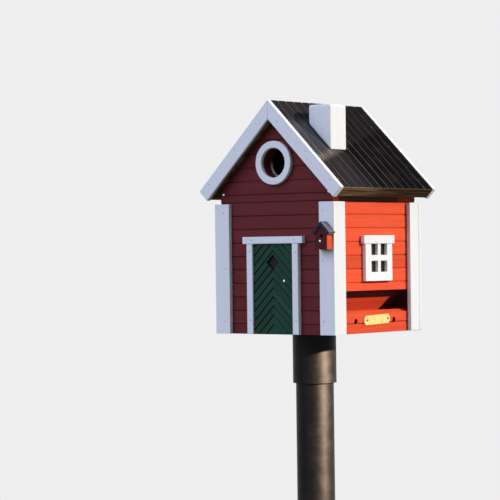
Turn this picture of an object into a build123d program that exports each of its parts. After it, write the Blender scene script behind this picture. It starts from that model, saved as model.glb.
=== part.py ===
from build123d import *
import math
import os

# Wooden cottage birdhouse and seed feeder on a round steel post, in millimetres.
# The origin is the centre of the post's foot. +Z is up and the front gable faces -Y.

# The house stands on the post a little right of and behind its axis
house_base = 640.0
house_shift_x = 5.2
house_shift_y = 4.0

# Walls, measured over the grooved siding
house_width = 156.0
house_depth = 159.0
wall_thickness = 12.0
eave_height = 162.5
slot_top = 47.2

# Horizontal grooves in the siding
siding_pitch = 15.07
first_groove_height = 11.0
gable_groove_drop = 7.2
narrowest_board = 6.0
groove_width = 2.0
groove_depth = 1.1

# Roof
roof_pitch = 45.0
roof_thickness = 13.5
eave_overhang = 21.0
gable_overhang = 7.0
roof_board_pitch = 14.5
roof_groove_width = 2.0
roof_groove_depth = 0.9
barge_width = 15.2
barge_thickness = 6.0

# Chimney, a block that stands on the right slope
chimney_width = 29.8
chimney_depth = 30.8
chimney_centre_x = 41.6
chimney_centre_y = -37.3
chimney_drop = 5.6

# Corner boards
corner_thickness = 5.0
front_corner_width = 20.0
side_front_corner_width = 16.2
side_back_corner_width = 17.5
corner_drop = 17.0

# Entrance in the front gable
entrance_diameter = 32.0
entrance_drop = 50.5
ring_diameter = 48.7
ring_bore = 33.0
ring_shift = 0.3
ring_thickness = 5.0
liner_thickness = 5.0
liner_drop = 90.5
liner_roof_gap = 1.0

# Door on the front, a fixed leaf between two jambs
door_centre = -2.1
door_width = 55.4
door_height = 100.5
door_thickness = 3.5
jamb_width = 8.2
jamb_thickness = 5.5
door_lintel_width = 83.6
door_lintel_height = 7.9
door_lintel_thickness = 6.0
door_lintel_shift = 0.7
chevron_pitch = 10.2
chevron_first_apex = 0.9
chevron_groove_width = 2.0
chevron_groove_depth = 1.1
peep_side = 12.7
peep_height = 79.7
peep_shift = -0.5
knob_shift = 15.6
knob_height = 59.3
knob_diameter = 3.2
door_pane_thickness = 0.5

# Window on each side wall
window_centre = 1.2
window_width = 51.2
window_bottom = 57.7
window_height = 41.4
window_thickness = 4.4
light_width = 12.5
light_height = 12.4
lights_shift = 0.5
muntin_width = 5.4
crossbar_height = 6.4
bottom_rail = 10.0
window_lintel_width = 58.8
window_lintel_shift = 0.2
window_lintel_height = 9.5
window_lintel_thickness = 5.2
pane_thickness = 0.5
pane_lap = 1.5

# Floor, trays and the hopper that feeds them
floor_thickness = 12.0
floor_recess = 7.5
tray_board_thickness = 8.0
tray_board_height = 21.8
tray_board_rise = 3.4
hopper_reach = 15.0
hopper_thickness = 6.0
hopper_slope = 52.0
seed_gap = 4.3
tray_screw_spacing = 73.5
tray_screw_shift = -1.75
tray_screw_head = 6.0
tray_screw_recess = 5.5
tray_screw_shank = 3.4
tray_screw_length = 22.0

# Bare plate on the right tray board
plate_length = 50.0
plate_height = 10.5
plate_thickness = 0.8
plate_corner = 3.2
plate_centre_y = 1.2
plate_centre_z = 14.65
plate_tilt = 1.75
plate_pin_spacing = 40.0
plate_pin_shift = 0.7
plate_pin_diameter = 2.4
plate_pin_height = 0.7

# Tiny birdhouse on the right front corner board
mini_width = 16.0
mini_depth = 10.3
mini_bottom = 93.4
mini_apex = 124.1
mini_roof_reach = 12.2
mini_roof_length = 11.6
mini_roof_thickness = 3.6
mini_corner_inset = 9.9
mini_hole_diameter = 3.4
mini_hole_drop = 16.0
mini_hole_shift = 0.9
mini_hole_depth = 5.2
mini_perch_drop = 21.4
mini_perch_shift = -1.0
mini_perch_diameter = 3.0
mini_perch_shank_length = 6.0

# Round heads in the lower corners of the front gable
gable_screw_inset = 4.2
gable_screw_drop = 5.9
gable_screw_diameter = 3.6

# Domed heads in general
dome_height = 1.6
small_shank = 1.6
small_shank_length = 7.0

# Post, its end plug and the socket that carries the house
post_diameter = 43.0
post_wall = 2.0
socket_diameter = 49.5
socket_drop = 57.5
flange_diameter = 100.0
flange_thickness = 4.0
flange_screw_circle = 78.0
flange_screw_count = 3
flange_screw_turn = 30.0
flange_screw_head = 7.0
flange_screw_head_height = 2.8
flange_screw_shank = 4.0
flange_screw_length = 12.0
plug_rim = 3.0
plug_depth = 18.0
plug_rib_thickness = 3.0
running_gap = 0.25
pilot_gap = 0.1

# Sizes worked out from those above
half_width = house_width / 2
half_depth = house_depth / 2
inner_half_width = half_width - wall_thickness
inner_half_depth = half_depth - wall_thickness
slope = math.tan(math.radians(roof_pitch))
slope_cos = math.cos(math.radians(roof_pitch))
slope_sin = math.sin(math.radians(roof_pitch))
ridge_underside = eave_height + half_width * slope
ridge_top = ridge_underside + roof_thickness / slope_cos
eave_reach = half_width + eave_overhang
slope_length = eave_reach / slope_cos
roof_half_length = half_depth + gable_overhang
corner_height = eave_height - corner_drop
entrance_height = ridge_underside - entrance_drop
liner_bottom = ridge_underside - liner_drop
floor_top = floor_recess + floor_thickness
tray_screw_height = floor_recess + floor_thickness / 2
tray_inner_face = half_width - tray_board_thickness
gable_screw_height = eave_height - gable_screw_drop
mini_centre = half_width + corner_thickness - mini_corner_inset
lintel_base = window_bottom + window_height

# Reference planes through the foot of the house: front and side views, plan
house_origin = (house_shift_x, house_shift_y, house_base)
front_view = Plane(origin=house_origin, x_dir=(1, 0, 0), z_dir=(0, -1, 0))
side_view = Plane(origin=house_origin, x_dir=(0, 1, 0), z_dir=(1, 0, 0))
plan_view = Plane(origin=house_origin, x_dir=(1, 0, 0), z_dir=(0, 0, 1))
front_face = front_view.offset(half_depth)
right_face = side_view.offset(half_width)


def save(piece, name):
    piece.part.label = name
    export_step(piece.part, f"parts/{name}.step")


def mirrored(source, plane):
    with BuildPart() as copy:
        mirror(source.part, about=plane)
    return copy


def board(plane, low, high, thickness):
    """A flat board on a plane, between two opposite corners of its outline."""
    with BuildPart() as piece:
        with BuildSketch(plane):
            with Locations(((low[0] + high[0]) / 2, (low[1] + high[1]) / 2)):
                Rectangle(high[0] - low[0], high[1] - low[1])
        extrude(amount=thickness)
    return piece


def pilot_holes(plane, points, diameter, depth):
    """Round holes into the part that is being built, from the plane backwards."""
    with BuildSketch(plane) as holes:
        with Locations(*points):
            Circle(diameter / 2)
    extrude(holes.sketch, amount=-depth, mode=Mode.SUBTRACT)


def domed_fasteners(plane, points, head_diameter, shank_diameter, shank_length, head_height=dome_height):
    """Nails or screws with domed heads that sit on the plane."""
    with BuildPart() as fasteners:
        with BuildSketch(plane):
            with Locations(*points):
                Circle(head_diameter / 2)
        extrude(amount=head_height)
        outward = Axis(plane.origin, plane.z_dir)
        rims = fasteners.faces().group_by(outward)[-1].edges()
        chamfer(rims, min(0.5 * head_height, 0.3 * head_diameter))
        with BuildSketch(plane):
            with Locations(*points):
                Circle(shank_diameter / 2)
        extrude(amount=-shank_length)
    return fasteners


def siding_groove_heights():
    """Heights of the grooves: one series for the wall and one for the gable boards."""
    heights = []
    gable_start = eave_height - gable_groove_drop
    height = first_groove_height
    while height < gable_start - narrowest_board:
        heights.append(height)
        height += siding_pitch
    height = gable_start
    while height < ridge_underside:
        heights.append(height)
        height += siding_pitch
    return heights


def siding_profiles(face, inward, heights):
    """Triangles that cut the grooves, drawn across a wall whose outer face lies at face."""
    for height in heights:
        Polygon(
            (face, height - groove_width / 2),
            (face, height + groove_width / 2),
            (face + inward * groove_depth, height),
            align=None,
        )


def gable_outline():
    Polygon(
        (-half_width, 0),
        (half_width, 0),
        (half_width, eave_height),
        (0, ridge_underside),
        (-half_width, eave_height),
        align=None,
    )


def slope_outline(width):
    """Section of the right slope: plumb at the ridge and square at the eave."""
    Polygon(
        (0, ridge_top),
        (eave_reach, ridge_top - eave_reach * slope),
        (eave_reach - width * slope_sin, ridge_top - eave_reach * slope - width * slope_cos),
        (0, ridge_top - width / slope_cos),
        align=None,
    )


os.makedirs("parts", exist_ok=True)

# Front and back walls
gable_screw_points = [
    (-half_width + gable_screw_inset, gable_screw_height),
    (half_width - gable_screw_inset, gable_screw_height),
]
knob_point = (door_centre + knob_shift, knob_height)

with BuildPart() as front_wall:
    with BuildSketch(front_face):
        gable_outline()
    extrude(amount=-wall_thickness)
    with BuildSketch(side_view):
        siding_profiles(-half_depth, 1, siding_groove_heights())
    extrude(amount=half_width, both=True, mode=Mode.SUBTRACT)
    with BuildSketch(front_face):
        with Locations((0, entrance_height)):
            Circle(entrance_diameter / 2)
    extrude(amount=-wall_thickness, mode=Mode.SUBTRACT)
    pilot_holes(front_face, gable_screw_points, small_shank + 2 * pilot_gap, small_shank_length)
    pilot_holes(front_face, [knob_point], small_shank + 2 * pilot_gap, small_shank_length)
save(front_wall, "front_wall")

with BuildPart() as back_wall:
    with BuildSketch(front_view.offset(-half_depth)):
        gable_outline()
    extrude(amount=wall_thickness)
    with BuildSketch(side_view):
        siding_profiles(half_depth, -1, siding_groove_heights())
    extrude(amount=half_width, both=True, mode=Mode.SUBTRACT)
save(back_wall, "back_wall")

# Side walls stand between the front and back walls, with their tops bevelled under the roof
with BuildPart() as right_side_wall:
    with BuildSketch(front_view):
        Polygon(
            (inner_half_width, slot_top),
            (half_width, slot_top),
            (half_width, eave_height),
            (inner_half_width, eave_height + wall_thickness * slope),
            align=None,
        )
    extrude(amount=inner_half_depth, both=True)
    with BuildSketch(front_view):
        for groove_height in siding_groove_heights():
            if slot_top + groove_width < groove_height < eave_height - groove_width:
                Polygon(
                    (half_width, groove_height - groove_width / 2),
                    (half_width, groove_height + groove_width / 2),
                    (half_width - groove_depth, groove_height),
                    align=None,
                )
    extrude(amount=inner_half_depth, both=True, mode=Mode.SUBTRACT)
save(right_side_wall, "right_side_wall")
save(mirrored(right_side_wall, side_view), "left_side_wall")

# Floor, held between the walls above their lower edges
tray_screw_points = [
    (tray_screw_shift - tray_screw_spacing / 2, tray_screw_height),
    (tray_screw_shift + tray_screw_spacing / 2, tray_screw_height),
]
tray_pilot_length = tray_screw_length - (tray_board_thickness - tray_screw_recess)
underside = Plane(origin=(0, 0, house_base + floor_recess), x_dir=(1, 0, 0), z_dir=(0, 0, -1))
flange_underside = underside.offset(flange_thickness)

with BuildPart() as floor_board:
    with BuildSketch(plan_view.offset(floor_recess)):
        Rectangle(2 * tray_inner_face, 2 * inner_half_depth)
    extrude(amount=floor_thickness)
    with BuildSketch(underside):
        with PolarLocations(flange_screw_circle / 2, flange_screw_count, start_angle=flange_screw_turn):
            Circle(flange_screw_shank / 2 + pilot_gap)
    extrude(amount=-(flange_screw_length - flange_thickness), mode=Mode.SUBTRACT)
    with BuildSketch(side_view.offset(tray_inner_face)):
        with Locations(*tray_screw_points):
            Circle(tray_screw_shank / 2 + pilot_gap)
    extrude(amount=-tray_pilot_length, mode=Mode.SUBTRACT)
    with BuildSketch(side_view.offset(-tray_inner_face)):
        with Locations(*tray_screw_points):
            Circle(tray_screw_shank / 2 + pilot_gap)
    extrude(amount=tray_pilot_length, mode=Mode.SUBTRACT)
save(floor_board, "floor_board")

# Tray boards with a sloping top edge, screwed to the ends of the floor
with BuildPart() as right_tray_board:
    with BuildSketch(front_view):
        Polygon(
            (tray_inner_face, 0),
            (half_width, 0),
            (half_width, tray_board_height),
            (tray_inner_face, tray_board_height + tray_board_rise),
            align=None,
        )
    extrude(amount=inner_half_depth, both=True)
    with BuildSketch(front_view):
        Polygon(
            (half_width, first_groove_height - groove_width / 2),
            (half_width, first_groove_height + groove_width / 2),
            (half_width - groove_depth, first_groove_height),
            align=None,
        )
    extrude(amount=inner_half_depth, both=True, mode=Mode.SUBTRACT)
    pilot_holes(right_face, tray_screw_points, tray_screw_shank + 2 * pilot_gap, tray_board_thickness)
    pilot_holes(right_face, tray_screw_points, tray_screw_head + 2 * pilot_gap, tray_screw_recess)
save(right_tray_board, "right_tray_board")
save(mirrored(right_tray_board, side_view), "left_tray_board")

with BuildPart() as right_tray_screws:
    with BuildSketch(right_face.offset(-tray_screw_recess)):
        with Locations(*tray_screw_points):
            Circle(tray_screw_shank / 2)
    extrude(amount=-tray_screw_length)
    with BuildSketch(right_face.offset(-tray_screw_recess)):
        with Locations(*tray_screw_points):
            Circle(tray_screw_head / 2)
    extrude(amount=dome_height)
save(right_tray_screws, "right_tray_screws")
save(mirrored(right_tray_screws, side_view), "left_tray_screws")

# Hopper boards slope inwards from the side walls and stop above the floor
hopper_tan = math.tan(math.radians(hopper_slope))
hopper_low_z = floor_top + seed_gap
hopper_high_z = hopper_low_z + hopper_reach * hopper_tan
hopper_depth_z = hopper_thickness / math.cos(math.radians(hopper_slope))
hopper_low_x = inner_half_width - hopper_reach

with BuildPart() as right_hopper_board:
    with BuildSketch(front_view):
        Polygon(
            (hopper_low_x, hopper_low_z),
            (inner_half_width, hopper_high_z),
            (inner_half_width, hopper_high_z + hopper_depth_z),
            (hopper_low_x, hopper_low_z + hopper_depth_z),
            align=None,
        )
    extrude(amount=inner_half_depth, both=True)
save(right_hopper_board, "right_hopper_board")
save(mirrored(right_hopper_board, side_view), "left_hopper_board")

# Liner board behind the front gable, with the entrance hole through it
with BuildPart() as entrance_liner:
    with BuildSketch(front_view.offset(inner_half_depth)):
        Polygon(
            (-inner_half_width, liner_bottom),
            (inner_half_width, liner_bottom),
            (inner_half_width, ridge_underside - inner_half_width * slope - liner_roof_gap),
            (0, ridge_underside - liner_roof_gap),
            (-inner_half_width, ridge_underside - inner_half_width * slope - liner_roof_gap),
            align=None,
        )
        with Locations((0, entrance_height)):
            Circle(entrance_diameter / 2, mode=Mode.SUBTRACT)
    extrude(amount=-liner_thickness)
save(entrance_liner, "entrance_liner")

# Roof panels with grooves between their boards
right_slope = Plane(
    origin=(house_shift_x, house_shift_y, house_base + ridge_top),
    x_dir=(0, 1, 0),
    z_dir=(slope_cos, 0, -slope_sin),
)
roof_groove_count = 2 * int((roof_half_length - roof_groove_width) / roof_board_pitch) + 1

with BuildPart() as right_roof_panel:
    with BuildSketch(front_view):
        slope_outline(roof_thickness)
    extrude(amount=roof_half_length, both=True)
    with BuildSketch(right_slope):
        with GridLocations(roof_board_pitch, 1, roof_groove_count, 1):
            Polygon(
                (-roof_groove_width / 2, 0),
                (roof_groove_width / 2, 0),
                (0, -roof_groove_depth),
                align=None,
            )
    extrude(amount=slope_length, mode=Mode.SUBTRACT)
save(right_roof_panel, "right_roof_panel")
save(mirrored(right_roof_panel, side_view), "left_roof_panel")

# Barge boards cover the ends of the roof panels
with BuildPart() as front_right_barge:
    with BuildSketch(front_view.offset(roof_half_length)):
        slope_outline(barge_width)
    extrude(amount=barge_thickness)
front_left_barge = mirrored(front_right_barge, side_view)
save(front_right_barge, "front_right_barge_board")
save(front_left_barge, "front_left_barge_board")
save(mirrored(front_right_barge, front_view), "back_right_barge_board")
save(mirrored(front_left_barge, front_view), "back_left_barge_board")

# Chimney block, cut to the slope it stands on
chimney_left = chimney_centre_x - chimney_width / 2
chimney_right = chimney_centre_x + chimney_width / 2

with BuildPart() as chimney:
    with BuildSketch(front_view.offset(-chimney_centre_y)):
        Polygon(
            (chimney_left, ridge_top - chimney_left * slope),
            (chimney_right, ridge_top - chimney_right * slope),
            (chimney_right, ridge_top - chimney_drop),
            (chimney_left, ridge_top - chimney_drop),
            align=None,
        )
    extrude(amount=chimney_depth / 2, both=True)
save(chimney, "chimney")

# Corner boards: those on the front and back cover the edges of those on the sides
outer_half_width = half_width + corner_thickness
front_right_corner = board(
    front_face,
    (outer_half_width - front_corner_width, 0),
    (outer_half_width, corner_height),
    corner_thickness,
)
front_left_corner = mirrored(front_right_corner, side_view)
save(front_right_corner, "front_right_corner_board")
save(front_left_corner, "front_left_corner_board")
save(mirrored(front_right_corner, front_view), "back_right_corner_board")
save(mirrored(front_left_corner, front_view), "back_left_corner_board")

right_front_corner = board(
    right_face,
    (-half_depth, 0),
    (-half_depth + side_front_corner_width, corner_height),
    corner_thickness,
)
left_front_corner = mirrored(right_front_corner, side_view)
save(right_front_corner, "right_front_corner_board")
save(left_front_corner, "left_front_corner_board")

right_back_corner = board(
    right_face,
    (half_depth - side_back_corner_width, 0),
    (half_depth, corner_height),
    corner_thickness,
)
save(right_back_corner, "right_back_corner_board")
save(mirrored(right_back_corner, side_view), "left_back_corner_board")

# Ring round the entrance
with BuildPart() as entrance_ring:
    with BuildSketch(front_face):
        with Locations((ring_shift, entrance_height)):
            Circle(ring_diameter / 2)
            Circle(ring_bore / 2, mode=Mode.SUBTRACT)
    extrude(amount=ring_thickness)
save(entrance_ring, "entrance_ring")

# Door leaf: one half with its slanting grooves, mirrored at the middle, then the diamond light
door_middle = side_view.offset(door_centre)
chevron_start = chevron_groove_width / 2 * math.sqrt(0.5)
chevron_reach = door_width / 2 * math.sqrt(2) + chevron_groove_width
chevron_count = 1 + int((door_height + door_width / 2 - chevron_first_apex) / chevron_pitch)

with BuildPart() as door_leaf:
    with BuildSketch(front_face):
        with Locations((door_centre - door_width / 4, door_height / 2)):
            Rectangle(door_width / 2, door_height)
    extrude(amount=door_thickness)
    for index in range(chevron_count):
        apex_height = chevron_first_apex + index * chevron_pitch
        groove_end = Plane(
            origin=(
                house_shift_x + door_centre + chevron_start,
                house_shift_y - half_depth - door_thickness,
                house_base + apex_height + chevron_start,
            ),
            x_dir=(1, 0, -1),
            z_dir=(-1, 0, -1),
        )
        with BuildSketch(groove_end):
            Polygon(
                (-chevron_groove_width / 2, 0),
                (chevron_groove_width / 2, 0),
                (0, -chevron_groove_depth),
                align=None,
            )
        extrude(amount=chevron_reach, mode=Mode.SUBTRACT)
    mirror(about=door_middle)
    with BuildSketch(front_face):
        with Locations((door_centre + peep_shift, peep_height)):
            Rectangle(peep_side, peep_side, rotation=45)
    extrude(amount=door_thickness, mode=Mode.SUBTRACT)
    pilot_holes(
        front_face.offset(door_thickness),
        [knob_point],
        small_shank + 2 * pilot_gap,
        door_thickness,
    )
save(door_leaf, "door_leaf")

with BuildPart() as door_pane:
    with BuildSketch(front_face):
        with Locations((door_centre + peep_shift, peep_height)):
            Rectangle(peep_side, peep_side, rotation=45)
    extrude(amount=door_pane_thickness)
save(door_pane, "door_pane")

door_left = door_centre - door_width / 2
door_right = door_centre + door_width / 2
left_jamb = board(front_face, (door_left - jamb_width, 0), (door_left, door_height), jamb_thickness)
right_jamb = board(front_face, (door_right, 0), (door_right + jamb_width, door_height), jamb_thickness)
lintel_centre = door_centre + door_lintel_shift
door_lintel = board(
    front_face,
    (lintel_centre - door_lintel_width / 2, door_height),
    (lintel_centre + door_lintel_width / 2, door_height + door_lintel_height),
    door_lintel_thickness,
)
save(left_jamb, "left_door_jamb")
save(right_jamb, "right_door_jamb")
save(door_lintel, "door_lintel")

door_knob = domed_fasteners(
    front_face.offset(door_thickness),
    [knob_point],
    knob_diameter,
    small_shank,
    small_shank_length,
)
save(door_knob, "door_knob")

gable_screws = domed_fasteners(
    front_face,
    gable_screw_points,
    gable_screw_diameter,
    small_shank,
    small_shank_length,
)
save(gable_screws, "gable_screws")

# Window: a frame with four lights, a dark pane let into its back, and a lintel over both.
# The lights sit a little off its centre.
light_offset = (muntin_width + light_width) / 2
lights_centre = window_centre + lights_shift
lights_width = 2 * light_width + muntin_width
lower_light_bottom = window_bottom + bottom_rail
upper_light_bottom = lower_light_bottom + light_height + crossbar_height

with BuildPart() as right_window_frame:
    with BuildSketch(right_face):
        with Locations((window_centre, window_bottom + window_height / 2)):
            Rectangle(window_width, window_height)
        for side in (-1, 1):
            with Locations((lights_centre + side * light_offset, lower_light_bottom + light_height / 2)):
                Rectangle(light_width, light_height, mode=Mode.SUBTRACT)
            with Locations((lights_centre + side * light_offset, (upper_light_bottom + lintel_base) / 2)):
                Rectangle(light_width, lintel_base - upper_light_bottom, mode=Mode.SUBTRACT)
    extrude(amount=window_thickness)
    with BuildSketch(right_face):
        with Locations((lights_centre, (lower_light_bottom - pane_lap + lintel_base) / 2)):
            Rectangle(lights_width + 2 * pane_lap, lintel_base - lower_light_bottom + pane_lap)
    extrude(amount=pane_thickness, mode=Mode.SUBTRACT)
save(right_window_frame, "right_window_frame")
save(mirrored(right_window_frame, side_view), "left_window_frame")

right_window_pane = board(
    right_face,
    (lights_centre - lights_width / 2 - pane_lap, lower_light_bottom - pane_lap),
    (lights_centre + lights_width / 2 + pane_lap, lintel_base),
    pane_thickness,
)
save(right_window_pane, "right_window_pane")
save(mirrored(right_window_pane, side_view), "left_window_pane")

right_window_lintel = board(
    right_face,
    (window_centre + window_lintel_shift - window_lintel_width / 2, lintel_base),
    (window_centre + window_lintel_shift + window_lintel_width / 2, lintel_base + window_lintel_height),
    window_lintel_thickness,
)
save(right_window_lintel, "right_window_lintel")
save(mirrored(right_window_lintel, side_view), "left_window_lintel")

# Bare plate with clipped corners, pinned a little askew on the right tray board
plate_plane = Plane(
    origin=(
        house_shift_x + half_width,
        house_shift_y + plate_centre_y,
        house_base + plate_centre_z,
    ),
    x_dir=(0, math.cos(math.radians(plate_tilt)), math.sin(math.radians(plate_tilt))),
    z_dir=(1, 0, 0),
)
plate_pin_points = [
    (plate_pin_shift - plate_pin_spacing / 2, 0),
    (plate_pin_shift + plate_pin_spacing / 2, 0),
]

with BuildPart() as name_plate:
    with BuildSketch(plate_plane) as plate_outline:
        Rectangle(plate_length, plate_height)
        chamfer(plate_outline.vertices(), plate_corner)
    extrude(amount=plate_thickness)
    pilot_holes(
        plate_plane.offset(plate_thickness),
        plate_pin_points,
        small_shank + 2 * pilot_gap,
        plate_thickness,
    )
save(name_plate, "name_plate")

plate_pins = domed_fasteners(
    plate_plane.offset(plate_thickness),
    plate_pin_points,
    plate_pin_diameter,
    small_shank,
    plate_thickness,
    head_height=plate_pin_height,
)
save(plate_pins, "plate_pins")

# Tiny birdhouse with its own roof, hole and perch nail
mini_back = front_face.offset(corner_thickness)
mini_front = mini_back.offset(mini_depth)
mini_half = mini_width / 2
mini_body_apex = mini_apex - mini_roof_thickness / slope_cos
mini_hole_point = (mini_centre + mini_hole_shift, mini_apex - mini_hole_drop)
mini_perch_point = (mini_centre + mini_perch_shift, mini_apex - mini_perch_drop)

with BuildPart() as mini_house_body:
    with BuildSketch(mini_back):
        Polygon(
            (mini_centre - mini_half, mini_bottom),
            (mini_centre + mini_half, mini_bottom),
            (mini_centre + mini_half, mini_body_apex - mini_half * slope),
            (mini_centre, mini_body_apex),
            (mini_centre - mini_half, mini_body_apex - mini_half * slope),
            align=None,
        )
    extrude(amount=mini_depth)
    pilot_holes(mini_front, [mini_hole_point], mini_hole_diameter, mini_hole_depth)
    pilot_holes(mini_front, [mini_perch_point], small_shank + 2 * pilot_gap, small_shank_length)
save(mini_house_body, "mini_house_body")

with BuildPart() as mini_house_roof:
    with BuildSketch(mini_back):
        for side in (-1, 1):
            Polygon(
                (mini_centre, mini_apex),
                (mini_centre + side * mini_roof_reach, mini_apex - mini_roof_reach * slope),
                (
                    mini_centre + side * (mini_roof_reach - mini_roof_thickness * slope_sin),
                    mini_apex - mini_roof_reach * slope - mini_roof_thickness * slope_cos,
                ),
                (mini_centre, mini_body_apex),
                align=None,
            )
    extrude(amount=mini_roof_length)
save(mini_house_roof, "mini_house_roof")

mini_house_perch = domed_fasteners(
    mini_front,
    [mini_perch_point],
    mini_perch_diameter,
    small_shank,
    mini_perch_shank_length,
)
save(mini_house_perch, "mini_house_perch")

# Socket: a flange screwed under the floor and a collar that takes the post
bore_radius = post_diameter / 2 + running_gap

with BuildPart() as post_socket:
    with BuildSketch(underside):
        Circle(flange_diameter / 2)
        with PolarLocations(flange_screw_circle / 2, flange_screw_count, start_angle=flange_screw_turn):
            Circle(flange_screw_shank / 2 + pilot_gap, mode=Mode.SUBTRACT)
    extrude(amount=flange_thickness)
    with BuildSketch(flange_underside):
        Circle(socket_diameter / 2)
        Circle(bore_radius, mode=Mode.SUBTRACT)
    extrude(amount=socket_drop + floor_recess - flange_thickness)
save(post_socket, "post_socket")

with BuildPart() as flange_screws:
    with BuildSketch(flange_underside):
        with PolarLocations(flange_screw_circle / 2, flange_screw_count, start_angle=flange_screw_turn):
            Circle(flange_screw_shank / 2)
    extrude(amount=-flange_screw_length)
    with BuildSketch(flange_underside):
        with PolarLocations(flange_screw_circle / 2, flange_screw_count, start_angle=flange_screw_turn):
            RegularPolygon(flange_screw_head / 2, 6, major_radius=False)
    extrude(amount=flange_screw_head_height)
save(flange_screws, "flange_screws")

# Post: a round tube on an end plug with crossed ribs
post_top = house_base + floor_recess - flange_thickness
plug_radius = post_diameter / 2 - post_wall - running_gap
plug_rib_length = 2 * math.sqrt(plug_radius**2 - plug_rib_thickness**2 / 4)

with BuildPart() as post_tube:
    with BuildSketch(Plane.XY.offset(plug_rim)):
        Circle(post_diameter / 2)
        Circle(post_diameter / 2 - post_wall, mode=Mode.SUBTRACT)
    extrude(amount=post_top - plug_rim)
save(post_tube, "post_tube")

with BuildPart() as post_end_plug:
    with BuildSketch(Plane.XY):
        Circle(post_diameter / 2)
    extrude(amount=plug_rim)
    with BuildSketch(Plane.XY.offset(plug_rim)):
        for turn in (0, 90):
            Rectangle(plug_rib_length, plug_rib_thickness, rotation=turn)
    extrude(amount=plug_depth)
save(post_end_plug, "post_end_plug")
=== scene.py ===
import math

import bmesh
import bpy
from mathutils import Matrix, Vector


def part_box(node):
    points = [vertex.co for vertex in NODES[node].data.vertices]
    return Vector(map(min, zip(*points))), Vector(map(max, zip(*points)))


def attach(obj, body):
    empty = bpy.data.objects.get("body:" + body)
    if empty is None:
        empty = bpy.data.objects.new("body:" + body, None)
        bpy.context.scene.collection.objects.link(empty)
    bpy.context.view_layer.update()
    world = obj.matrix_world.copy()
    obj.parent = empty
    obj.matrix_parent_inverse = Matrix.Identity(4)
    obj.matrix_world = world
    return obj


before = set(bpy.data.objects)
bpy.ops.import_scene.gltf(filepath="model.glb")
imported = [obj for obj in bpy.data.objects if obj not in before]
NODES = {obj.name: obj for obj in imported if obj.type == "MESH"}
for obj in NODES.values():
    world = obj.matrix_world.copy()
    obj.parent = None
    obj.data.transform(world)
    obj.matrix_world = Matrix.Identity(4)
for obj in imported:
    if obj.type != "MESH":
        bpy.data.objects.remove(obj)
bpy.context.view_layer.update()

MM = 0.001

# Places taken from the imported parts
front_low, front_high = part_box("front_wall")
back_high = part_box("back_wall")[1]
roof_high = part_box("right_roof_panel")[1]
barge_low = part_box("front_right_barge_board")[0]
door_low, door_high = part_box("door_leaf")
mini_low, mini_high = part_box("mini_house_roof")
body_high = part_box("mini_house_body")[1]
ring_low, ring_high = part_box("entrance_ring")
HOUSE = Vector(((front_low.x + front_high.x) / 2, (front_low.y + back_high.y) / 2, front_low.z))
RIDGE = Vector((HOUSE.x, HOUSE.y, roof_high.z))
HALF_LENGTH = HOUSE.y - barge_low.y
DOOR_X = (door_low.x + door_high.x) / 2
MINI_X = (mini_low.x + mini_high.x) / 2
ENTRANCE = (ring_low + ring_high) / 2

# Pitches of the grooves that the colours follow
SIDING_PITCH = 15.07 * MM
SIDING_START = 11.0 * MM
ROOF_PITCH = 14.5 * MM
CHEVRON_PITCH = 10.2 * MM
CHEVRON_START = 0.9 * MM

# Directions
X_AXIS = Vector((1, 0, 0))
Y_AXIS = Vector((0, 1, 0))
Z_AXIS = Vector((0, 0, 1))
RIGHT_DOWN = Vector((1, 0, -1)).normalized()
RIGHT_OUT = Vector((1, 0, 1)).normalized()
LEFT_DOWN = Vector((-1, 0, -1)).normalized()
LEFT_OUT = Vector((-1, 0, 1)).normalized()

# Colours, linear
# The next three reds are lit and shaded copies of one red paint: painted shade on the front, painted sunlight
# on the right, and a milder painted shade on the back and left. The right side's wear colour below is a
# sunlit copy too.
RED_FRONT_SHADE = (0.125, 0.0175, 0.0190)
RED_SUNNY = (0.80, 0.090, 0.034)
RED_SHADY = (0.27, 0.033, 0.026)
RED_WORN = (0.16, 0.035, 0.032)
RED_SUNNY_WORN = (0.82, 0.15, 0.07)
# The hopper board's painted sunlight, and the darker red of its painted shadow, which is also its wear
# colour.
RED_HOPPER_SUNLIT = (0.95, 0.088, 0.032)
RED_HOPPER_SHADE_AND_WEAR = (0.12, 0.020, 0.013)
# Painted shade on the back wall's inner face.
RED_INSIDE_SHADE = (0.075, 0.0105, 0.0115)
# Painted shade in the screw recesses.
RED_PIT_SHADE = (0.012, 0.004, 0.003)
# Painted shadow under the eave.
RED_EAVE_SHADOW = (0.170, 0.050, 0.026)
WHITE = (0.80, 0.80, 0.79)
WHITE_WORN = (0.74, 0.735, 0.715)
# The next two whites paint light into the window trim: a paler white for the frames, and one paler still on
# the faces that look to the front, in their shaded reveals.
WHITE_FRAME_PAINTED_LIGHT = (0.86, 0.86, 0.855)
WHITE_PAINTED_LIGHT = (0.98, 0.96, 0.96)
# Painted skylight: a cool white for the front-facing edges of the back corner boards, in place of the red
# light thrown on them by the wall.
WHITE_PAINTED_SKYLIGHT = (0.84, 0.97, 0.98)
OLIVE_WOOD = (0.15, 0.118, 0.058)
GREEN = (0.0084, 0.0435, 0.0235)
GREEN_WORN = (0.030, 0.085, 0.065)
# Painted shade for the door's grooves and corners.
GREEN_SHADE = (0.003, 0.007, 0.005)
STAIN_DARK = (0.0056, 0.0048, 0.0060)
STAIN_FRONT = (0.0285, 0.0222, 0.0240)
# Stain with a painted reflection, near the ridge and towards the back.
STAIN_RIDGE_REFLECTED = (0.0270, 0.0232, 0.0260)
STAIN_RIDGE_BACK_REFLECTED = (0.0125, 0.0105, 0.0105)
# Painted reflection of the chimney's white face.
LILAC_REFLECTION = (0.0440, 0.0450, 0.0620)
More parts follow.
